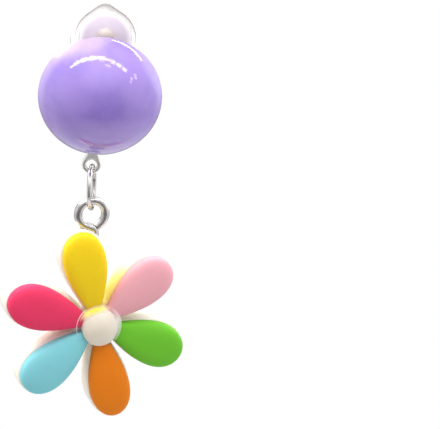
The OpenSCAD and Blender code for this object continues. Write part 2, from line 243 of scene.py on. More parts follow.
class LinkSettings(bpy.types.PropertyGroup):
    """Sizes and colours of the jump ring and the screw eye"""

    wire: tint("Wire", "Colour of the plated wire", "cfcccb")
    dull: tint("Dull wire", "Colour of the wire where its plating is dull", "8b8588")
    ring_wire: length("Ring wire", "Wire of the jump ring", 0.5)
    ring_turn: turn("Ring turn", "Turn of the jump ring about the vertical", -6)
    ring_slit: length("Ring slit", "Width of the slit where the ring was closed", 0.08)
    loop_wire: length("Loop wire", "Wire of the screw eye", 0.95)
    loop_d: length("Loop", "Outer diameter of the screw eye's loop", 4.1)
    foot_drop: length("Foot drop", "How far the wire is drawn down out of its circle", 0.27)
    foot_bend: length("Foot bend", "Radius of the bend from the shank into the loop", 0.35)
    shank_side: length("Shank side", "Distance of the shank to the right of the loop's middle", 0.3)
    shank_in: length("Shank", "Length of the shank inside the flower", 4)
    shank_d: length("Shank width", "Diameter of the shank", 0.7)
    shank_neck: length("Shank neck", "Where the shank thins, below the loop's foot", 0.26)
    foot_bite: length("Foot bite", "How far the wire's end runs into the shank", 0.1)


class FlowerSettings(bpy.types.PropertyGroup):
    """Sizes and colours of the flower"""

    petal_turn: turn("Petal turn", "Turn of the petals in the flower's own plane", 9)
    reach: length("Reach", "Distance from the flower's middle to a petal's tip", 11.25)
    width: length("Petal width", "Greatest width of the top petal", 4.9)
    start: length("Petal start", "Where a petal's teardrop begins, under the button", 0.4)
    tuck: length("Petal tuck", "How far a petal's cut end reaches under the button", 0.25)
    side: length("Petal side", "Height of a petal's straight side", 0.6)
    rise: length("Petal rise", "Rise of a petal's pillow above that side", 1.1)
    seat: length("Petal seat", "Height of the petals' flat backs in front of the shank", 0.85)
    fullness: bpy.props.FloatProperty(
        name="Fullness", description="2 is an elliptical pillow, more is flatter", default=2.6, min=2.0
    )
    ridge: bpy.props.FloatProperty(
        name="Ridge", description="Where a petal is highest, as a share of the reach", default=0.64
    )
    layer_t: length("Layer", "Thickness of the white layer", 2.8)
    layer_rim: length("Layer rim", "How far the white layer stands out past the petals", 0.25)
    layer_edge: length("Layer edge", "Rounding of the white layer's edges", 0.35)
    hub_rim: length("Hub rim", "How far the layer's middle stands out past the button", 0.5)
    foot_sunk: length("Foot sunk", "How far the layer's top stands above the loop's foot", 0.45)
    button_d: length("Button", "Width of the white button", 4.1)
    button_long: length("Button length", "Length of the button, up and down", 4.4)
    button_off: length("Button off", "How far the button sits to the right and down", 0.12)
    button_side: length("Button side", "Height of the button's straight side", 1.35)
    button_dome: length("Button dome", "Rise of the button's dome", 0.95)
    button_edge: length("Button edge", "Rounding of the button's shoulder", 0.5)
    white: tint("White layer", "Colour of the white layer", "f3eee4")
    button: tint("White button", "Colour of the button", "ddd5c8")
    # The glue's colour is that of its painted highlight and reflection
    glue: tint("Glue colour", "Colour of the clear glue", "fffaf5")
    # Painted light: the colours that the yellow and magenta petals bounce onto the white layer
    yellow_bounce_light: tint("Yellow bleed", "Stain on the white layer beside the yellow petal", "ffef8a")
    magenta_bounce_light: tint("Magenta bleed", "Stain on the white layer beside the magenta petal", "f3d3cc")


for petal, (codes, *_) in PETALS.items():
    for (part, where), code in zip(PETAL_PARTS.items(), codes):
        painted = tint(f"{petal} {where}".capitalize(), f"Colour of the {petal} petal's {where}", code)
        FlowerSettings.__annotations__[petal + part] = painted


class StageSettings(bpy.types.PropertyGroup):
    """Places of the floor and the camera"""

    floor_below: length("Floor", "Distance of the floor below the earring", 70)
    floor_size: length("Floor size", "Width of the floor", 360)
    floor_clear: length("Floor clear", "Distance from its middle at which the floor starts to fade", 60)
    elevation: turn("Elevation", "Angle at which the camera looks down", 20)
    view_width: length("View width", "Width that the camera sees", 49.27)
    aim_right: length("Aim right", "Distance of the view's middle to the right of the origin", 12.745)
    aim_down: length("Aim down", "Distance of the view's middle below the origin", 19.32)
    lens: bpy.props.FloatProperty(
        name="Lens", description="Focal length of the camera", default=600.0, min=1.0, unit="CAMERA"
    )


class Amount:
    """A value that a node gives. Arithmetic on it adds Math nodes."""

    def __init__(self, tree, socket):
        self.tree = tree
        self.socket = socket

    def math(self, operation, *others):
        """A Math node's result on this value and the others after it"""
        return self.tree.math(operation, self, *others)

    def __add__(self, other):
        return self.math("ADD", other)

    def __sub__(self, other):
        return self.math("SUBTRACT", other)

    def __rsub__(self, other):
        return self.tree.math("SUBTRACT", other, self)

    def __mul__(self, other):
        return self.math("MULTIPLY", other)

    def __truediv__(self, other):
        return self.math("DIVIDE", other)

    def __rtruediv__(self, other):
        return self.tree.math("DIVIDE", other, self)

    def __pow__(self, other):
        return self.math("POWER", other)

    def __mod__(self, other):
        return self.math("MODULO", other)

    __radd__ = __add__
    __rmul__ = __mul__

    def least(self, other):
        return self.math("MINIMUM", other)

    def most(self, other):
        return self.math("MAXIMUM", other)

    def between(self, low, high):
        """0 up to low, 1 from high on, and a smooth step between them"""
        settings = {"interpolation_type": "SMOOTHSTEP"}
        return self.tree.add("ShaderNodeMapRange", settings, {0: self, 1: low, 2: high})


class Tree:
    """Adds nodes to a shader or geometry tree"""

    def __init__(self, tree):
        self.tree = tree

    def add(self, kind, settings=None, values=None, output=0):
        """A node of a kind; settings are set first, then its sockets get values or links"""
        node = self.tree.nodes.new(kind)
        for key, setting in (settings or {}).items():
            setattr(node, key, setting)
        for key, value in (values or {}).items():
            if isinstance(value, Amount):
                self.tree.links.new(value.socket, node.inputs[key])
            else:
                node.inputs[key].default_value = value
        return Amount(self, node.outputs[output]) if len(node.outputs) else None

    def math(self, operation, *values):
        return self.add("ShaderNodeMath", {"operation": operation}, dict(enumerate(values)))

    def vector_math(self, operation, *values, output=0):
        return self.add("ShaderNodeVectorMath", {"operation": operation}, dict(enumerate(values)), output)

    def along(self, vector, way):
        """How far a vector reaches in one direction"""
        return self.vector_math("DOT_PRODUCT", vector, way.normalized(), output="Value")

    def vector(self, *parts):
        return self.add("ShaderNodeCombineXYZ", None, dict(enumerate(parts)))

    def parts(self, vector):
        """The x, y and z of a vector"""
        first = self.add("ShaderNodeSeparateXYZ", None, {0: vector})
        return [Amount(self, socket) for socket in first.socket.node.outputs]

    def stored(self, geometry, name, value, kind="FLOAT"):
        """The geometry with a named value on its points"""
        settings = {"data_type": kind, "domain": "POINT"}
        values = {"Geometry": geometry, "Name": name, "Value": value}
        return self.add("GeometryNodeStoreNamedAttribute", settings, values)

    def carried(self, name, kind="FLOAT"):
        """A named value that the geometry carries"""
        return self.add("GeometryNodeInputNamedAttribute", {"data_type": kind}, {"Name": name})


class Finish(Tree):
    """A procedural material on the piece's Object coordinates, in millimetres"""

    def __init__(self, name):
        self.material = bpy.data.materials.new(name)
        self.material.use_nodes = True
        self.material.node_tree.nodes.clear()
        super().__init__(self.material.node_tree)
        place = self.add("ShaderNodeTexCoord", output="Object")
        self.place = self.vector_math("MULTIPLY", place, (1 / MM, 1 / MM, 1 / MM))

    def stretched(self, *scale):
        """The place of a point, stretched along x, y and z"""
        return self.vector_math("MULTIPLY", self.place, scale)

    def noise(self, size, detail=2.0, vector=None):
        """Noise from 0 to 1 whose spots are about this size"""
        values = {"Vector": vector or self.place, "Scale": 1 / size, "Detail": detail}
        return self.add("ShaderNodeTexNoise", None, values)

    def spots(self, size):
        """Distance from the nearest of a scatter of points, in spot sizes"""
        return self.add("ShaderNodeTexVoronoi", None, {"Vector": self.place, "Scale": 1 / size})

    def away(self, spot, place=None):
        """Distance from a spot that is given in metres"""
        return self.vector_math("DISTANCE", place or self.place, spot / MM, output="Value")

    def reach(self, way, start):
        """Distance in one direction from a start that is given in metres"""
        return self.along(self.place, way) - way.normalized().dot(start) / MM

    def reading(self, attribute, output="Fac"):
        return self.add("ShaderNodeAttribute", {"attribute_name": attribute}, output=output)

    def mix(self, factor, first, second):
        """A colour between two colours"""
        values = {0: factor, 6: solid(first), 7: solid(second)}
        return self.add("ShaderNodeMix", {"data_type": "RGBA"}, values, output=2)

    def surface(self, values, height, depth):
        """Ends the material in one shader, with a bump of this depth in millimetres"""
        bump = {"Strength": 1.0, "Distance": depth * MM, "Height": height}
        values["Normal"] = self.add("ShaderNodeBump", None, bump)
        shader = self.add("ShaderNodeBsdfPrincipled", None, values)
        self.add("ShaderNodeOutputMaterial", None, {"Surface": shader})
        return self.material


def solid(colour):
    """A colour with full alpha, where it is a plain colour"""
    return colour if isinstance(colour, Amount) else (*tuple(colour)[:3], 1.0)


def plastic_ball_finish(ball, centre, radius):
    """Glossy opaque plastic: soft clouds, a painted glow along its rim that is left out at the upper
    right, and a few faint marks
    """
    made = Finish("lavender_plastic")
    clouds = made.noise(4.5, 3).between(0.35, 0.7)
    out = made.away(Vector((centre.x, 0, centre.z)), made.stretched(1, 0, 1)) / (radius / MM)
    # Painted rim glow: lighter towards the edges, but not at the upper right beside the highlight
    upper_right = made.reach(Vector((0.5, 0, 0.87)), centre).between(3.0, 5.0)
    thin = out.between(0.86, 1.0) * (1 - upper_right)
    body = made.mix(clouds, ball.lavender, ball.deep)
    colour = made.mix(thin * 0.38, body, ball.pale)
    smear = made.noise(0.9, 2, made.stretched(1, 1, 2.2)).between(0.6, 0.75)
    wobble = made.noise(2.4, 1) + 0.35 * made.noise(0.45, 3)
    values = {
        "Base Color": colour,
        "Roughness": 0.06 + 0.12 * smear,
        "IOR": 1.5,
        "Subsurface Weight": 0.12,
        "Subsurface Radius": (1.0, 0.6, 1.0),
        "Subsurface Scale": 0.8 * MM,
        "Specular IOR Level": 0.7,
        "Coat Weight": 0.12,
        "Coat Roughness": 0.03,
    }
    return made.surface(values, wobble, depth=0.02)


def plating_finish(clip):
    """Polished plating: fine scratches both ways and dull clouds"""
    made = Finish("silver_plating")
    dull = made.noise(1.6, 4).between(0.5, 0.8)
    across = made.noise(0.05, 2, made.stretched(1, 1, 0.06))
    along = made.noise(0.05, 2, made.stretched(0.06, 0.5, 1))
    scratches = across.between(0.55, 0.8) + along.between(0.6, 0.8)
    values = {
        "Base Color": made.mix(dull * 0.25, clip.metal, clip.tarnish),
        "Metallic": 1.0,
        "Roughness": 0.44 + 0.1 * dull + 0.05 * scratches,
    }
    return made.surface(values, made.noise(0.6, 2) - 0.15 * scratches, depth=0.01)


def wire_finish(links):
    """Plated wire: lines drawn along it, and dull patches"""
    made = Finish("plated_wire")
    drawn = made.noise(0.22, 2, made.reading("drawn", "Vector"))
    dull = made.noise(1.1, 4).between(0.45, 0.75)
    values = {
        "Base Color": made.mix(dull * 0.6, links.wire, links.dull),
        "Metallic": 1.0,
        "Roughness": 0.16 + 0.12 * dull + 0.1 * drawn,
    }
    return made.surface(values, drawn + made.noise(0.4, 2), depth=0.012)


def rubber_finish(pad, nub):
    """Soft milky rubber with tiny bubbles, warmer in its nub, and lighter towards its edge, partly where
    the metal shows through and partly as painted light
    """
    made = Finish("milky_rubber")
    cloud = made.noise(1.5, 2)
    bubbles = 1 - made.spots(0.25).between(0.1, 0.35)
    to_nub = made.away(nub)
    in_nub = 1 - to_nub.between(0.9, 1.3)
    milk = made.mix(cloud.between(0.3, 0.7), pad.rubber, pad.deep)
    # Lighter towards the edge: partly the metal showing through, partly painted light
    edge_lit_milk = made.mix(to_nub.between(2.3, 3.5) * 0.8, milk, pad.thin)
    values = {
        "Base Color": made.mix(in_nub, edge_lit_milk, pad.warm),
        "Roughness": 0.35 + 0.1 * cloud,
        "IOR": 1.42,
        "Subsurface Weight": 0.2,
        "Subsurface Radius": (1.0, 0.9, 1.0),
        "Subsurface Scale": 0.8 * MM,
    }
    return made.surface(values, made.noise(0.8, 2) + 0.3 * bubbles, depth=0.01)


def petal_finish(name, colour, edge, inner):
    """Satin enamel, mottled, with tiny specks; painted edge light on its rounded rim, painted shade near
    the button, and a painted highlight on its inner end, where the glue also makes it glossier
    """
    made = Finish(name)
    # Painted edge light: the rim colour is laid over the pillow's rounded rim
    rim = made.reading("rim").between(0.72, 1.0)
    far = made.reading("far")
    # Painted highlight on the inner end by the button, where the glue also makes the enamel glossier
    wet_and_lit = 1 - far.between(2.65, 3.1)
    dark = [part * 0.88 for part in colour]
    mottle = made.noise(0.45, 3)
    cloud = made.noise(2.6, 1)
    body = made.mix(mottle * 0.5 + cloud * 0.4, colour, dark)
    toned = made.mix(rim * 0.8, body, edge)
    shadow = made.mix(0.3 * (1 - far.between(3.0, 5.0)), toned, dark)
    ended = made.mix(wet_and_lit, shadow, inner)
    speck = 1 - made.spots(2.4).between(0.02, 0.05)
    values = {
        "Base Color": made.mix(speck * 0.3, ended, [part * 0.4 for part in colour]),
        "Roughness": 0.5 + 0.12 * mottle - 0.2 * wet_and_lit,
        "IOR": 1.46,
        "Specular IOR Level": 0.12,
        "Subsurface Weight": 0.15,
        "Subsurface Radius": tuple(0.3 + 0.7 * part for part in colour),
        "Subsurface Scale": 0.5 * MM,
    }
    return made.surface(values, mottle + 0.8 * cloud, depth=0.015)


def white_finish(name, colour, roughness, bounce_glows=()):
    """Cast white resin: faint warm clouds, a fine skin, and painted light where a petal's colour bounces
    onto it
    """
    made = Finish(name)
    cloud = made.noise(2.5, 3)
    grain = made.noise(0.15, 2)
    warm = [colour[0] * 0.97, colour[1] * 0.93, colour[2] * 0.86]
    toned = made.mix(cloud.between(0.35, 0.75), colour, warm)
    # Painted bounce light: the white turns towards a petal's colour near it
    for spot, reach, bounce_tint in bounce_glows:
        toned = made.mix((1 - made.away(spot).between(0.3 * reach, reach)) * 0.9, toned, bounce_tint)
    values = {
        "Base Color": toned,
        "Roughness": roughness + 0.1 * grain,
        "IOR": 1.46,
        "Specular IOR Level": 0.3,
        "Subsurface Weight": 0.5,
        "Subsurface Radius": (1.0, 0.9, 0.8),
        "Subsurface Scale": 1.2 * MM,
    }
    return made.surface(values, cloud + 0.25 * grain, depth=0.015)


def glue_finish(colour, yellow, seat):
    """Clear glue that carries painted light: a yellow glow over the top petal's end, a highlight line
    along its lip at the left, and a whitish reflection at the right
    """
    made = Finish("clear_glue")
    ripple = made.noise(0.7, 2)
    close = made.reading("close")

    def reach(bearing):
        turned_to = seat.to_3x3() @ Matrix.Rotation(math.radians(bearing), 3, "Z")
        return made.reach(turned_to @ Vector((1, 0, 0)), seat.translation)

    # Painted yellow glow over the top petal's end
    painted_yellow_glow = reach(107).between(1.3, 2.2) * close.between(0.0, 0.45)
    # Painted reflection: whitish at the right
    whitish = reach(2).between(1.2, 2.3)
    # Painted highlight line along the bead's lip at the left
    lip = made.reading("lip").between(0.3, 0.9) * reach(165).between(2.0, 2.3)
    values = {
        "Base Color": made.mix(painted_yellow_glow, colour, yellow),
        "Roughness": 0.25 + 0.1 * ripple,
        "IOR": 1.42,
        "Alpha": (0.01 + 0.75 * painted_yellow_glow + whitish * (0.4 + 0.4 * close * close) + 0.6 * lip).least(1.0),
    }
    return made.surface(values, ripple, depth=0.01)


def floor_finish(clear, out):
    """Pale card with a faint tooth, that fades out between two distances from its middle"""
    made = Finish("pale_card")
    tooth = made.noise(1.5, 3)
    away = made.away(Vector((0, 0, 0)), made.stretched(1, 1, 0))
    values = {
        "Base Color": made.mix(tooth, (0.52, 0.52, 0.52), (0.55, 0.55, 0.55)),
        "Roughness": 0.9,
        "Alpha": 1 - away.between(clear / MM, out / MM),
    }
    return made.surface(values, tooth, depth=0.02)


def bow(middle, radius, start, stop, steps):
    """Points of an arc from one angle to another, in degrees"""
    angles = [math.radians(start + (stop - start) * k / steps) for k in range(steps + 1)]
    return [(middle[0] + radius * math.cos(a), middle[1] + radius * math.sin(a)) for a in angles]


def rounded(low, high, edge, steps=5):
    """(inset, height) pairs of a slab's side from its floor to its top, with round edges"""
    foot = bow((edge, low + edge), edge, 270, 180, steps)
    brow = bow((edge, high - edge), edge, 180, 90, steps)
    shelf = edge * 1.5
    return [(shelf, low), *foot, *brow, (shelf, high)]


def ball_profile(radius, depth, edge, steps=40):
    """(radius, height) pairs of a cap of a ball with a round edge"""
    ball_r = (radius**2 + depth**2) / (2 * depth)
    drop = depth - ball_r
    out = math.sqrt((ball_r - edge) ** 2 - (edge - drop) ** 2)
    meet = math.degrees(math.atan2(edge - drop, out))
    rim = bow((out, edge), edge, -90, meet, 8)
    crown = bow((0, drop), ball_r, meet, 90, steps)
    return [(0, 0), (out - edge / 2, 0), *rim, *crown[1:-1], (0, depth)]


def domed_side(radius, side, dome, foot, shoulder):
    """A domed disc's side up to its dome, the dome's radius and middle, and where they meet"""
    ball_r = (radius**2 + dome**2) / (2 * dome)
    drop = side + dome - ball_r
    out = radius - shoulder
    up = drop + math.sqrt((ball_r - shoulder) ** 2 - out**2)
    meet = math.degrees(math.atan2(up - drop, out))
    low = bow((radius - foot, foot), foot, -90, 0, 6)
    high = bow((out, up), shoulder, 0, meet, 8)
    return [(0, 0), (radius - foot * 1.5, 0), *low, *high], ball_r, drop, meet


def level_ring(shape, radius, height, steps):
    """A level circle of new points"""
    angles = [2 * math.pi * k / steps for k in range(steps)]
    return [shape.verts.new((radius * math.cos(a), radius * math.sin(a), height)) for a in angles]


def turned(profile, steps=96):
    """A solid turned about Z from (radius, height) pairs that begin and end on the axis"""
    shape = bmesh.new()
    rings = []
    for radius, height in profile:
        if radius:
            rings.append(level_ring(shape, radius, height, steps))
        else:
            rings.append([shape.verts.new((0, 0, height))] * steps)
    join_rings(shape, rings)
    return shape


def join_rings(shape, rings):
    """Faces between each ring of points and the next"""
    for lower, upper in zip(rings, rings[1:]):
        count = len(lower)
        for k in range(count):
            following = (k + 1) % count
            corners = [lower[k], lower[following], upper[following], upper[k]]
            shape.faces.new(list(dict.fromkeys(corners)))


def inset_points(outline, inset):
    """An outline moved inwards; it runs anticlockwise round the solid and clockwise round a hole"""
    count = len(outline)
    moved = []
    for k, (x, y) in enumerate(outline):
        before = Vector(outline[k - 1])
        after = Vector(outline[(k + 1) % count])
        here = Vector((x, y))
        first = (here - before).normalized()
        second = (after - here).normalized()
        middle = (first + second).normalized()
        stretch = 1 / max(middle.dot(first), 0.4)
        moved.append((x - middle.y * inset * stretch, y + middle.x * inset * stretch))
    return moved


def moulded(outlines, profile, shape=None, place=None):
    """A solid from flat outlines, holes after the first, and (inset, height) pairs"""
    shape = shape or bmesh.new()
    made = []
    ends = ([], [])
    for outline in outlines:
        rings = []
        for inset, height in profile:
            points = inset_points(outline, inset)
            rings.append([shape.verts.new((x, y, height)) for x, y in points])
        join_rings(shape, rings)
        for end, ring in zip(ends, (rings[0], rings[-1])):
            pairs = zip(ring, ring[1:] + ring[:1])
            end.extend(shape.edges.get(pair) for pair in pairs)
        made.extend(point for ring in rings for point in ring)
    for end in ends:
        bmesh.ops.triangle_fill(shape, use_beauty=True, edges=end)
    if place is not None:
        bmesh.ops.transform(shape, matrix=place, verts=made)
    return shape


def show(name, mesh, body, slot, *nodes):
    """Makes a mesh a piece that rides on a body and stands for CAD nodes"""
    mesh.shade_smooth()
    mesh.set_sharp_from_angle(angle=math.radians(40))
    thing = bpy.data.objects.new(name, mesh)
    bpy.context.scene.collection.objects.link(thing)
    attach(thing, body)
    if nodes:
        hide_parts(*nodes)


def cast(name, shape, place, material, body, slot, *nodes):
    """Makes a shape a piece in its place, with its normals outwards"""
    bmesh.ops.recalc_face_normals(shape, faces=shape.faces)
    bmesh.ops.transform(shape, matrix=place, verts=shape.verts)
    mesh = bpy.data.meshes.new(name)
    shape.to_mesh(mesh)
    shape.free()
    mesh.materials.append(material)
    show(name, mesh, body, slot, *nodes)


def new_tree(name, amounts, counts, takes=None):
    """A Geometry Nodes tree with named inputs, and the values that they give"""
    kinds = {takes: "NodeSocketGeometry"} if takes else {}
    kinds.update({title: "NodeSocketFloat" for title in amounts})
    kinds.update({title: "NodeSocketInt" for title in counts})
    kinds["Material"] = "NodeSocketMaterial"
    group = bpy.data.node_groups.new(name, "GeometryNodeTree")
    for title, kind in kinds.items():
        group.interface.new_socket(title, in_out="INPUT", socket_type=kind)
    group.interface.new_socket("Geometry", in_out="OUTPUT", socket_type="NodeSocketGeometry")
    tree = Tree(group)
    entry = group.nodes.new("NodeGroupInput")
    return tree, {socket.name: Amount(tree, socket) for socket in entry.outputs if socket.name}


def close_tree(tree, geometry, material):
    """Ends a tree in real geometry with its material"""
    real = tree.add("GeometryNodeRealizeInstances", None, {"Geometry": geometry})
    painted = tree.add("GeometryNodeSetMaterial", None, {"Geometry": real, "Material": material})
    tree.add("NodeGroupOutput", None, {"Geometry": painted})
    return tree.tree


def grown(name, group, start, values):
    """Runs a tree on a mesh and returns the result as a plain mesh"""
    holder = bpy.data.objects.new(name, start)
    bpy.context.scene.collection.objects.link(holder)
    modifier = holder.modifiers.new(group.name, "NODES")
    modifier.node_group = group
    for item in group.interface.items_tree:
        if item.in_out == "INPUT" and item.name in values:
            modifier[item.identifier] = values[item.name]
    bpy.context.view_layer.update()
    shown = bpy.context.evaluated_depsgraph_get()
    mesh = bpy.data.meshes.new_from_object(holder.evaluated_get(shown), depsgraph=shown)
    bpy.data.objects.remove(holder)
    mesh.name = name
    return mesh


def wire_tree():
    """Round wire along a path, with a vector for the lines that were drawn along it"""
    tree, given = new_tree("bent_wire", ("Radius", "Thin", "Thin Run"), ("Sides",), takes="Path")
    path = tree.add("GeometryNodeMeshToCurve", None, {"Mesh": given["Path"]})
    run = tree.add("GeometryNodeSplineParameter", output="Length")
    measured = tree.stored(path, "run", run)
    taper = 0.3 * MM
    full = run.between(given["Thin Run"] - taper, given["Thin Run"])
    thinned = {"Curve": measured, "Radius": given["Thin"] + (1 - given["Thin"]) * full}
    necked = tree.add("GeometryNodeSetCurveRadius", None, thinned)
    ends = tree.add("GeometryNodeCurveEndpointSelection")
    blunt = {"Curve": necked, "Selection": ends, "Radius": given["Thin"] * 0.8}
    tapered = tree.add("GeometryNodeSetCurveRadius", None, blunt)
    size = {"Resolution": given["Sides"], "Radius": given["Radius"]}
    section = tree.add("GeometryNodeCurvePrimitiveCircle", None, size)
    spot = tree.add("GeometryNodeInputPosition")
    marked = tree.stored(section, "round", spot, "FLOAT_VECTOR")
    sweep = {"Curve": tapered, "Profile Curve": marked, "Fill Caps": True}
    wire = tree.add("GeometryNodeCurveToMesh", None, sweep)
    x, y, _ = tree.parts(tree.carried("round", "FLOAT_VECTOR"))
    # A small step along the wire, so that the noise on this vector is drawn out into lines
    drawn_out = 0.08 / MM
    lines = tree.vector(x / MM, y / MM, tree.carried("run") * drawn_out)
    return close_tree(tree, tree.stored(wire, "drawn", lines, "FLOAT_VECTOR"), given["Material"])


def petal_tree():
    """One petal: a teardrop outline with a straight side and a pillowed top"""
    amounts = ("Reach", "Width", "Start", "Cut", "Side", "Rise", "Middle", "Seat", "Turn", "Fullness")
    tree, given = new_tree("petal", amounts, ("Points", "Rows"))
    points, rows, middle = given["Points"], given["Rows"], given["Middle"]
    size = {"Size X": 1.0, "Size Y": 1.0, "Vertices X": points + 1, "Vertices Y": rows}
    grid = tree.add("GeometryNodeMeshGrid", None, size)
    # The grid's columns run round the outline, and its rows from the back over the side to the top
    u, v, _ = tree.parts(tree.add("GeometryNodeInputPosition"))
    column = (((u + 0.5) * points + 0.25) % points).math("FLOOR")
    row = (v + 0.5) * (rows - 1)

    half = (given["Reach"] - given["Start"]) / 2
    mid = given["Start"] + half
    first = ((mid - given["Cut"]) / half).math("ARCCOSINE")
    bend = first + (2 * math.pi - 2 * first) * column / (points - 1)
    lobe = (bend / 2).math("SINE").most(0.0) ** DROP_POWER
    across = given["Width"] / (2 * DROP_PEAK) * bend.math("SINE") * lobe
    along = mid - half * bend.math("COSINE")

    climb = ((row - 2) / (rows - 3)).most(0.0) * (math.pi / 2)
    power = 2 / given["Fullness"]
    shrink = row.least(1.0) * climb.math("COSINE").most(0.0) ** power
    rise = given["Rise"] * climb.math("SINE").most(0.0) ** power
    inward = ((middle - along) / (middle - given["Cut"])).between(0.0, 1.0)
    x = middle + (along - middle) * (shrink + (1 - shrink) * inward)
    y = across * shrink * -1
    low = ((middle - x) / (middle - given["Cut"])).most(0.0)
    # The pillow falls towards the button, where a quarter of its rise is left
    pillow = rise * (1 - low * low * 0.75)
    height = given["Seat"] + given["Side"] * (row - 1).most(0.0).least(1.0) + pillow
    cosine = given["Turn"].math("COSINE")
    sine = given["Turn"].math("SINE")
    place = tree.vector(x * cosine - y * sine, x * sine + y * cosine, height)
    shaped = tree.add("GeometryNodeSetPosition", None, {"Geometry": grid, "Position": place})
    ruled = tree.stored(tree.stored(shaped, "rim", shrink), "far", x / MM)
    closed = tree.add("GeometryNodeMergeByDistance", None, {"Geometry": ruled, "Distance": 1e-6})
    return close_tree(tree, closed, given["Material"])


def petal_bearing(flower, sixth):
    """Which way a petal points in the flower's plane"""
    return math.radians(90 + 60 * sixth) + flower.petal_turn + PETAL_OFF[sixth]


def lobe_point(flower, sixth, grow, angle):
    """A point of the teardrop outline of one lobe, grown outwards, at an angle"""
    half = (flower.reach - PETAL_SHORT[sixth] - flower.start) / 2
    width = ((flower.width + PETAL_WIDER[sixth]) / 2 + grow) / DROP_PEAK
    x = flower.start + half - (half + grow) * math.cos(angle)
    y = width * math.sin(angle) * math.sin(angle / 2) ** DROP_POWER
    return x, y


def lobe_side(flower, sixth, grow, valley):
    """One side of a lobe from its tip to the middle of the valley beside it"""
    hub = flower.button_d / 2 + flower.hub_rim
    side = []
    steps = 400
    for k in range(steps, 0, -1):
        x, y = lobe_point(flower, sixth, grow, math.pi * k / steps)
        if math.hypot(x, y) <= hub:
            break
        side.append(Vector((x, y)))
    rest = bow((0, 0), hub, math.degrees(math.atan2(y, x)), math.degrees(valley), 6)
    return side + [Vector(point) for point in rest[1:]]


def lobed_outline(flower, grow, spacing, passes):
    """Outline of the white layer: six lobes round a middle, with soft valleys"""
    points = []
    for sixth, off in enumerate(PETAL_OFF):
        right = lobe_side(flower, sixth, grow, math.radians(30) + off)
        left = lobe_side(flower, sixth, grow, math.radians(30) - off)
        mirrored = [Vector((point.x, -point.y)) for point in reversed(right[1:])]
        spin = Matrix.Rotation(petal_bearing(flower, sixth), 2)
        points.extend(spin @ point for point in mirrored + left[:-1])
    even = spaced(points, spacing)
    for _ in range(passes):
        even = [(even[k - 1] + 2 * even[k] + even[(k + 1) % len(even)]) / 4 for k in range(len(even))]
    return [(point.x, point.y) for point in even]


def spaced(points, spacing):
    """The same closed outline with evenly spaced points"""
    legs = [(points[(k + 1) % len(points)] - point).length for k, point in enumerate(points)]
    count = max(12, round(sum(legs) / spacing))
    step = sum(legs) / count
    even = []
    walked = 0.0
    for k, leg in enumerate(legs):
        while len(even) < count and len(even) * step < walked + leg:
            share = (len(even) * step - walked) / leg
            even.append(points[k].lerp(points[(k + 1) % len(points)], share))
        walked += leg
    return even


def joint_point(name):
    return Vector(JOINTS[name]["pos_m"])


def clip_turn():
    """The lean of the clip, from the hinge's axis"""
    axis = JOINTS["lever_open"]["axis"]
    return Matrix.Rotation(math.atan2(axis[2], -axis[0]), 4, "Y")


def pin_place():
    """The clip's frame with the middle of the pin at its origin"""
    return Matrix.Translation(joint_point("lever_open")) @ clip_turn()


def lever_place():
    """The open lever's frame: pin at the origin, arm upwards"""
    opened = math.radians(JOINTS["lever_open"]["range_deg"][0])
    return pin_place() @ Matrix.Rotation(opened, 4, "X")


def flower_turn():
    """The turn of the flower, from the axis that it swings about"""
    axis = JOINTS["drop_swing"]["axis"]
    return Matrix.Rotation(math.atan2(axis[1], axis[0]), 4, "Z") @ TO_FRONT


def loop_sizes(links):
    """Radius of the loop's middle line, and how far its foot is below its middle"""
    radius = (links.loop_d - links.loop_wire) / 2
    return radius, radius + links.foot_drop


def loop_place(links):
    """The flower's turn, with the middle of the screw eye's loop at the origin"""
    radius = loop_sizes(links)[0]
    middle = joint_point("drop_swing") - Vector((0, 0, radius))
    return Matrix.Translation(middle) @ flower_turn()


def flower_place(links, flower):
    """The flower's turn, with the flower's middle at the origin and its face along Z"""
    down = loop_sizes(links)[1]
    top = flower.reach - PETAL_SHORT[0] + flower.layer_rim - flower.foot_sunk
    return loop_place(links) @ Matrix.Translation((links.shank_side, -top - down, 0))


class EARRING_OT_ball(bpy.types.Operator):
    """Turns the glossy half-ball"""

    bl_idname = "earring.ball"
    bl_label = "Half-ball"

    def execute(self, context):
        ball = context.scene.earring_ball
        low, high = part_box("ball")
        middle = (low + high) / 2
        radius = (high.x - low.x) / 2
        shape = turned(ball_profile(radius, high.y - low.y, ball.edge), steps=128)
        place = Matrix.Translation((middle.x, high.y, middle.z)) @ TO_FRONT
        finish = plastic_ball_finish(ball, middle, radius)
        cast("half_ball", shape, place, finish, "clip", "ball_plastic", "ball")
        return {"FINISHED"}


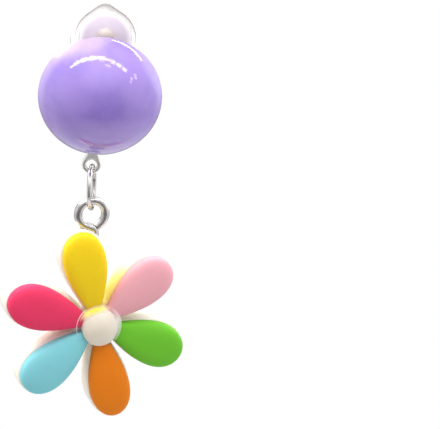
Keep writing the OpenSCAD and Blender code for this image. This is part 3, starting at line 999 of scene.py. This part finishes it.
class EARRING_OT_clip(bpy.types.Operator):
    """Stamps the plate with its eye and hinge, the pin, and the lever with its paddle"""

    bl_idname = "earring.clip"
    bl_label = "Clip"

    def execute(self, context):
        clip = context.scene.earring_clip
        plating = plating_finish(clip)
        for name, shape, place, body, node in (
            ("clip_plate", self.plate(clip), pin_place(), "clip", "clip_base"),
            ("hinge_rivet", self.pin(clip), pin_place(), "clip", "hinge_pin"),
            ("paddle_lever", self.lever(clip), lever_place(), "lever", "clip_lever"),
        ):
            cast(name, shape, place, plating, body, "silver_plate", node)
        return {"FINISHED"}

    def plate(self, clip):
        """The plate with its flared neck and eye, and the bracket's floor and ears"""
        facing = Matrix.Translation((0, -clip.pin_back, 0)) @ TO_FRONT
        hang = clip_turn().inverted() @ (joint_point("ring_swing") - joint_point("lever_open"))
        eye_r = clip.eye_hole_d / 2
        ring_r = eye_r + clip.eye_rim
        plate_r = clip.plate_d / 2
        neck, neck_z = clip.neck_w / 2, hang.z + clip.neck_top
        tangent = math.atan2(clip.neck_top, neck) - math.acos(ring_r / math.hypot(neck, clip.neck_top))
        tangent = math.degrees(tangent)
        dip = math.degrees(math.asin(neck / plate_r))
        outline = bow((0, clip.plate_up), plate_r, -90 + dip, 270 - dip, 90)
        outline += [(-neck, neck_z)]
        outline += bow((0, hang.z), ring_r, 180 - tangent, 360 + tangent, 40)
        outline += [(neck, neck_z)]
        hole = bow((0, hang.z), eye_r, 360, 0, 40)[:-1]
        shape = moulded([outline, hole], rounded(0, clip.plate_t, clip.soft_edge * 1.4), place=facing)

        ear_r = clip.pin_d / 2 + clip.ear_wall
        half = clip.ear_gap / 2 + clip.ear_t
        seam = 0.1 * MM
        floor = [(-half, -ear_r), (half, -ear_r), (half, clip.bracket_up), (-half, clip.bracket_up)]
        soft = clip.soft_edge
        moulded([floor], rounded(-clip.bracket_t, seam, soft), shape, facing)
        ear = [(-clip.pin_back - seam, ear_r), (-clip.pin_back - seam, -ear_r)]
        ear += bow((0, 0), ear_r, -90, 90, 24)
        bore = bow((0, 0), clip.pin_d / 2, 360, 0, 32)[:-1]
        for near in (clip.ear_gap / 2, -half):
            moulded([ear, bore], rounded(near, near + clip.ear_t, soft), shape, TO_SIDE)
        return shape

    def pin(self, clip):
        """The pin with a domed head outside each ear"""
        half = clip.ear_gap / 2 + clip.ear_t
        tip = half + clip.head_t
        head = clip.pin_d / 2 + clip.head_out
        shaft = clip.pin_d / 2 - GLUE_LINE / 2
        side = [(shaft, half + GLUE_LINE), (head, half + GLUE_LINE)]
        side += bow((head - clip.head_edge, tip - clip.head_edge), clip.head_edge, 0, 90, 6)
        side += [(0, tip)]
        profile = [(radius, -height) for radius, height in reversed(side)] + [(shaft, 0)] + side
        shape = turned(profile, steps=48)
        bmesh.ops.rotate(shape, verts=shape.verts, matrix=Matrix.Rotation(math.pi / 2, 3, "Y"))
        return shape

    def lever(self, clip):
        """The knuckle, the bent arm and the rimmed, egg-shaped paddle"""
        soft = clip.soft_edge
        width = clip.ear_gap - 2 * clip.lever_side
        side = rounded(-width / 2, width / 2, soft)
        knuckle = bow((0, 0), clip.pin_d / 2 + clip.ear_wall, 0, 360, 48)[:-1]
        bore = bow((0, 0), clip.pin_d / 2, 360, 0, 32)[:-1]
        shape = moulded([knuckle, bore], side, place=TO_SIDE)

        half = clip.lever_t / 2
        mid = clip.floor_back + half
        slope = math.atan2(clip.bend_up, mid)
        lean = math.degrees(slope) - 90
        # The arm starts inside the knuckle, lies a hair under the paddle's back and ends in it
        start = 0.21
        x, y = start * mid, start * clip.bend_up
        sunk, overlap = 0.012 * MM, 0.1 * MM
        meets = clip.grip_up - math.sqrt(clip.paddle_r**2 - (width / 2) ** 2) + overlap
        bend = (mid - clip.arm_bend, clip.bend_up + clip.arm_bend * math.tan((math.pi / 2 - slope) / 2))
        outer = bow(bend, clip.arm_bend + half - sunk, lean, 0, 8)
        inner = bow(bend, clip.arm_bend - half, 0, lean, 8)
        out, up = half * math.sin(slope), -half * math.cos(slope)
        arm = [(x + out, y + up), *outer, (mid + half - sunk, meets), (mid, meets + half)]
        arm += [(mid - half, meets), *inner, (x - out, y - up)]
        moulded([arm], side, shape, TO_SIDE)

        tilt = math.degrees(math.asin((clip.paddle_r - clip.paddle_tip_r) / clip.paddle_long))
        egg = bow((0, 0), clip.paddle_r, 180 - tilt, 360 + tilt, 72)
        egg += bow((0, clip.paddle_long), clip.paddle_tip_r, tilt, 180 - tilt, 32)
        egg = [tuple(Matrix.Rotation(clip.paddle_turn, 2) @ Vector(point)) for point in egg]
        top = clip.lever_t + clip.rim_h
        fine = soft / 2
        back = [(soft * 1.5, 0), *bow((soft, soft), soft, 270, 180, 5)]
        lip = bow((soft, top - soft), soft, 180, 90, 5)
        lip += bow((clip.rim_w - fine, top - fine), fine, 90, 0, 4)
        dish = bow((clip.rim_w + fine, clip.lever_t + fine), fine, 180, 270, 4)
        tray = [*back, *lip, *dish, (clip.rim_w + soft, clip.lever_t)]
        facing = Matrix.Translation((0, clip.floor_back + clip.lever_t, clip.grip_up)) @ TO_FRONT
        moulded([egg], tray, shape, facing)
        return shape


class EARRING_OT_pad(bpy.types.Operator):
    """Turns the comfort pad with its nub"""

    bl_idname = "earring.pad"
    bl_label = "Comfort pad"

    def execute(self, context):
        pad = context.scene.earring_pad
        clip = context.scene.earring_clip
        profile, ball_r, drop, meet = domed_side(
            pad.width / 2, pad.side, pad.dome, foot=0.1 * MM, shoulder=0.3 * MM
        )
        nub_r = pad.nub_d / 2
        nub_up = pad.side + pad.dome + pad.nub_h - nub_r
        reach = (ball_r + pad.fillet) ** 2 - (nub_r + pad.fillet) ** 2
        up = (reach - drop**2 + nub_up**2) / (2 * (nub_up - drop))
        out = math.sqrt((nub_r + pad.fillet) ** 2 - (up - nub_up) ** 2)
        from_dome = math.degrees(math.atan2(up - drop, out))
        from_nub = math.degrees(math.atan2(up - nub_up, out))
        profile += bow((0, drop), ball_r, meet, from_dome, 14)[1:]
        profile += bow((out, up), pad.fillet, 180 + from_dome, 180 + from_nub, 6)[1:]
        profile += bow((0, nub_up), nub_r, from_nub, 90, 14)[1:-1]
        profile += [(0, nub_up + nub_r)]
        seat = Matrix.Translation((0, clip.floor_back - GLUE_LINE, clip.grip_up))
        place = lever_place() @ seat @ TO_FRONT
        finish = rubber_finish(pad, place @ Vector((0, 0, nub_up + nub_r / 2)))
        cast("rubber_pad", turned(profile), place, finish, "lever", "clear_rubber", "comfort_pad")
        return {"FINISHED"}


class EARRING_OT_links(bpy.types.Operator):
    """Bends the jump ring and the screw eye out of wire"""

    bl_idname = "earring.links"
    bl_label = "Links"

    def execute(self, context):
        links = context.scene.earring_links
        tree = wire_tree()
        finish = wire_finish(links)
        low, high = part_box("jump_ring")
        centre = joint_point("ring_swing")
        centre.z = (low.z + high.z) / 2
        place = Matrix.Translation(centre) @ Matrix.Rotation(links.ring_turn, 4, "Z")
        path = self.ring_path(links, (high.z - low.z - links.ring_wire) / 2)
        size = {"Radius": links.ring_wire / 2, "Thin": 1.0, "Thin Run": 0.0}
        self.bend("jump_ring_wire", path, place, tree, finish, size, "ring", "jump_ring")
        size = {
            "Radius": links.loop_wire / 2,
            "Thin": links.shank_d / links.loop_wire,
            "Thin Run": links.shank_in - links.shank_neck,
        }
        path = self.loop_path(links)
        self.bend("screw_eye_wire", path, loop_place(links), tree, finish, size, "drop", "screw_eye")
        return {"FINISHED"}

    def bend(self, name, path, place, tree, finish, size, body, node):
        """Makes one bent wire a piece"""
        start = bpy.data.meshes.new(name + "_path")
        start.from_pydata(path, [(k, k + 1) for k in range(len(path) - 1)], [])
        mesh = grown(name, tree, start, {**size, "Sides": 32, "Material": finish})
        mesh.transform(place)
        show(name, mesh, body, "silver_wire", node)

    def ring_path(self, links, radius):
        """A circle in the YZ plane, slit at its back"""
        gap = math.degrees(links.ring_slit / radius)
        circle = bow((0, 0), radius, gap / 2, 360 - gap / 2, 120)
        return blunted([(0, y, z) for y, z in circle], step=0.04 * MM)

    def loop_path(self, links):
        """From the shank's end up to the foot, round the loop and back down to the foot"""
        radius, down = loop_sizes(links)
        foot = Vector((links.shank_side, -down))
        turned_by = math.degrees(math.atan2(links.shank_side, down))
        spread = math.degrees(math.acos(radius / foot.length))
        first = turned_by + spread - 90
        last = turned_by - spread + 270
        arc = [Vector(point) for point in bow((0, 0), radius, last, first, 90)]
        left = (arc[0] - foot).normalized()
        right = (arc[-1] - foot).normalized()
        corner = math.pi - left.angle(Vector((0, -1)))
        tuck = links.foot_bend * math.tan(corner / 2)
        middle = foot + Vector((-links.foot_bend, -tuck))
        heel = [Vector(point) for point in bow(middle, links.foot_bend, 0, math.degrees(corner), 12)]
        end = foot + right * (links.loop_wire / 2 - links.foot_bite)
        shank = [foot + Vector((0, -links.shank_in * share)) for share in (1, 0.5, 0.14, 0.1, 0.06)]
        leg = [arc[-1].lerp(end, share) for share in (0.5, 1.0)]
        points = [*shank, *heel, *arc, *leg]
        return blunted([(p.x, p.y, 0) for p in points], step=0.05 * MM)


def blunted(path, step):
    """The path with a point close to each end, so that the wire's ends can be blunt"""
    ends = []
    for tip, inner in ((path[0], path[1]), (path[-1], path[-2])):
        way = (Vector(inner) - Vector(tip)).normalized()
        ends.append(tuple(Vector(tip) + way * step))
    return [path[0], ends[0], *path[1:-1], ends[1], path[-1]]


class EARRING_OT_flower(bpy.types.Operator):
    """Casts the white layer and fills it with six petals and the button"""

    bl_idname = "earring.flower"
    bl_label = "Flower"

    def execute(self, context):
        flower = context.scene.earring_flower
        place = flower_place(context.scene.earring_links, flower)
        self.white_layer(flower, place)
        self.petals(flower, place)
        self.button(flower, place)
        return {"FINISHED"}

    def white_layer(self, flower, place):
        """The white layer, with painted bounce light beside two of the petals"""
        outline = lobed_outline(flower, flower.layer_rim, spacing=0.16 * MM, passes=8)
        top = flower.seat - GLUE_LINE
        shape = moulded([outline], rounded(top - flower.layer_t, top, flower.layer_edge))
        bounce_glows = []
        # Spots of painted bounce light beside the yellow and magenta petals
        for bearing, out, reach, petal in PAINTED_BOUNCES:
            way = Matrix.Rotation(math.radians(bearing), 3, "Z") @ Vector((out * MM, 0, 0))
            spot = place @ (way + Vector((0, 0, flower.seat)))
            bounce_glows.append((spot, reach, getattr(flower, petal + "_bounce_light")))
        finish = white_finish("white_resin", flower.white, roughness=0.38, bounce_glows=bounce_glows)
        cast("white_layer", shape, place, finish, "drop", "white_layer", "flower_back")

    def petals(self, flower, place):
        tree = petal_tree()
        for sixth, petal in enumerate(PETALS):
            colours = [getattr(flower, petal + part) for part in PETAL_PARTS]
            values = {
                "Reach": flower.reach - PETAL_SHORT[sixth],
                "Width": flower.width + PETAL_WIDER[sixth],
                "Start": flower.start,
                "Cut": flower.button_d / 2 - flower.tuck,
                "Side": flower.side,
                "Rise": flower.rise,
                "Middle": flower.ridge * flower.reach,
                "Seat": flower.seat,
                "Turn": petal_bearing(flower, sixth),
                "Fullness": flower.fullness,
                "Points": 112,
                "Rows": 28,
                "Material": petal_finish(petal + "_resin", *colours),
            }
            name = petal + "_petal"
            mesh = grown(name, tree, bpy.data.meshes.new(name + "_start"), values)
            mesh.transform(place)
            show(name, mesh, "drop", name, "petal_" + petal)

    def button(self, flower, place):
        """The domed button, and the clear glue that was squeezed out round it"""
        seat = place @ Matrix.Translation((0, 0, flower.seat))
        radius = flower.button_d / 2
        profile, ball_r, drop, meet = domed_side(
            radius, flower.button_side, flower.button_dome, foot=0.08 * MM, shoulder=flower.button_edge
        )
        profile += bow((0, drop), ball_r, meet, 90, 20)[1:-1]
        profile += [(0, drop + ball_r)]
        oval = Matrix.Diagonal((1, flower.button_long / flower.button_d, 1, 1))
        shifted = seat @ Matrix.Translation((flower.button_off, -flower.button_off, 0)) @ oval
        finish = white_finish("button_resin", flower.button, roughness=0.45)
        cast("white_button", turned(profile), shifted, finish, "drop", "white_button", "flower_centre")

        shape = bmesh.new()
        lip = shape.verts.layers.float.new("lip")
        close = shape.verts.layers.float.new("close")
        rings = []
        for out, height, near, edge in GLUE_BEAD:
            rings.append(level_ring(shape, radius + out * MM, height * MM, steps=96))
            for point in rings[-1]:
                point[close] = near
                point[lip] = edge
        join_rings(shape, [*rings, rings[0]])
        # The glue's colour paints a yellow glow, a highlight line and a reflection
        finish = glue_finish(flower.glue, flower.yellow_inner, seat)
        cast("hub_glue", shape, seat, finish, "drop", "white_button")


class EARRING_OT_stage(bpy.types.Operator):
    """Sets the floor, the soft lights and the camera"""

    bl_idname = "earring.stage"
    bl_label = "Stage"

    def execute(self, context):
        stage = context.scene.earring_stage
        # Its columns are the view's right, its up and the way towards the camera
        view = Matrix.Rotation(math.pi / 2 - stage.elevation, 3, "X")
        self.floor(stage)
        self.camera(context, stage, view)
        self.lights(view)
        self.tent(context, view)
        context.scene.view_settings.view_transform = "Standard"
        return {"FINISHED"}

    def floor(self, stage):
        half = stage.floor_size / 2
        level = CAD_BOX[0].z - stage.floor_below
        mesh = bpy.data.meshes.new("pale_floor")
        corners = [(-half, -half, level), (half, -half, level), (half, half, level), (-half, half, level)]
        mesh.from_pydata(corners, [], [(0, 1, 2, 3)])
        mesh.materials.append(floor_finish(stage.floor_clear, half))
        thing = bpy.data.objects.new("pale_floor", mesh)
        bpy.context.scene.collection.objects.link(thing)

    def camera(self, context, stage, view):
        data = bpy.data.cameras.new("camera")
        data.lens = stage.lens
        data.sensor_width = 36.0
        data.clip_start = 0.01
        data.clip_end = 20.0
        away = stage.view_width * stage.lens / data.sensor_width
        stand = view @ Vector((stage.aim_right, -stage.aim_down, away))
        thing = bpy.data.objects.new("camera", data)
        thing.matrix_world = Matrix.Translation(stand) @ view.to_4x4()
        context.scene.collection.objects.link(thing)
        context.scene.camera = thing

    def lights(self, view):
        """An arch of small panels, rim lights and glints"""
        for name, panel in PANELS.items():
            self.soft_light(view, name, *panel)
        crown = ARCH_TOP * 2 - (ARCH_LEFT + ARCH_RIGHT) / 2
        for k, thickness in enumerate(ARCH):
            share = (k + 0.5) / len(ARCH)
            start, end = ARCH_LEFT.lerp(crown, share), crown.lerp(ARCH_RIGHT, share)
            way, along, size = start.lerp(end, share), end - start, (0.1, thickness)
            self.soft_light(view, f"arch_{k}", way, along, distance=0.7, size=size, watts=3 * thickness)

    def soft_light(self, view, name, way, along, distance, size, watts):
        """A rectangular panel; its way and its long side are given as right, up, towards the camera"""
        towards = (view @ Vector(way)).normalized()
        side = view @ Vector(along)
        side = (side - towards * side.dot(towards)).normalized()
        data = bpy.data.lights.new(name, "AREA")
        data.shape = "RECTANGLE"
        data.size, data.size_y = size
        data.energy = watts
        thing = bpy.data.objects.new(name, data)
        turned_to = Matrix((side, towards.cross(side), towards)).transposed().to_4x4()
        thing.matrix_world = Matrix.Translation(LIT_SPOT + towards * distance) @ turned_to
        thing.visible_camera = False
        bpy.context.scene.collection.objects.link(thing)

    def tent(self, context, view):
        """Light from all round, brighter above the camera, which itself sees plain white"""
        world = bpy.data.worlds.new("studio")
        world.use_nodes = True
        world.node_tree.nodes.clear()
        tree = Tree(world.node_tree)
        seen = tree.add("ShaderNodeLightPath", output="Is Camera Ray")
        way = tree.add("ShaderNodeTexCoord", output="Generated")
        height = tree.along(way, Vector((0, 0, 1)))
        front = tree.along(way, Vector((-0.15, -1, 0)))
        dusk = (1 - height.between(-0.35, 0.1)) * front.between(0.1, 0.8)
        strength = TENT_GLOW - TENT_DUSK * dusk
        for direction, low, high, change in TENT:
            strength += change * tree.along(way, view @ Vector(direction)).between(low, high)
        white = {"Color": (1, 1, 1, 1), "Strength": strength.most(seen)}
        glow = tree.add("ShaderNodeBackground", None, white)
        tree.add("ShaderNodeOutputWorld", None, {"Surface": glow})
        context.scene.world = world


class EARRING_PT_panel(bpy.types.Panel):
    """Lists the earring's pieces and their settings"""

    bl_idname = "EARRING_PT_panel"
    bl_label = "Earring"
    bl_space_type = "VIEW_3D"
    bl_region_type = "UI"
    bl_category = "Earring"

    def draw(self, context):
        for piece in PIECES:
            self.layout.operator(f"earring.{piece}")
            group = getattr(context.scene, f"earring_{piece}")
            for key in group.__annotations__:
                self.layout.prop(group, key)


PIECES = {
    "ball": (BallSettings, EARRING_OT_ball),
    "clip": (ClipSettings, EARRING_OT_clip),
    "pad": (PadSettings, EARRING_OT_pad),
    "links": (LinkSettings, EARRING_OT_links),
    "flower": (FlowerSettings, EARRING_OT_flower),
    "stage": (StageSettings, EARRING_OT_stage),
}
CLASSES = (*(kind for pair in PIECES.values() for kind in pair), EARRING_PT_panel)


def register():
    for kind in CLASSES:
        bpy.utils.register_class(kind)
    for piece, (settings, _) in PIECES.items():
        setattr(bpy.types.Scene, f"earring_{piece}", bpy.props.PointerProperty(type=settings))


def unregister():
    for piece in PIECES:
        delattr(bpy.types.Scene, f"earring_{piece}")
    for kind in reversed(CLASSES):
        bpy.utils.unregister_class(kind)


def main():
    register()
    for piece in PIECES:
        getattr(bpy.ops.earring, piece)()


if __name__ == "__main__":
    main()
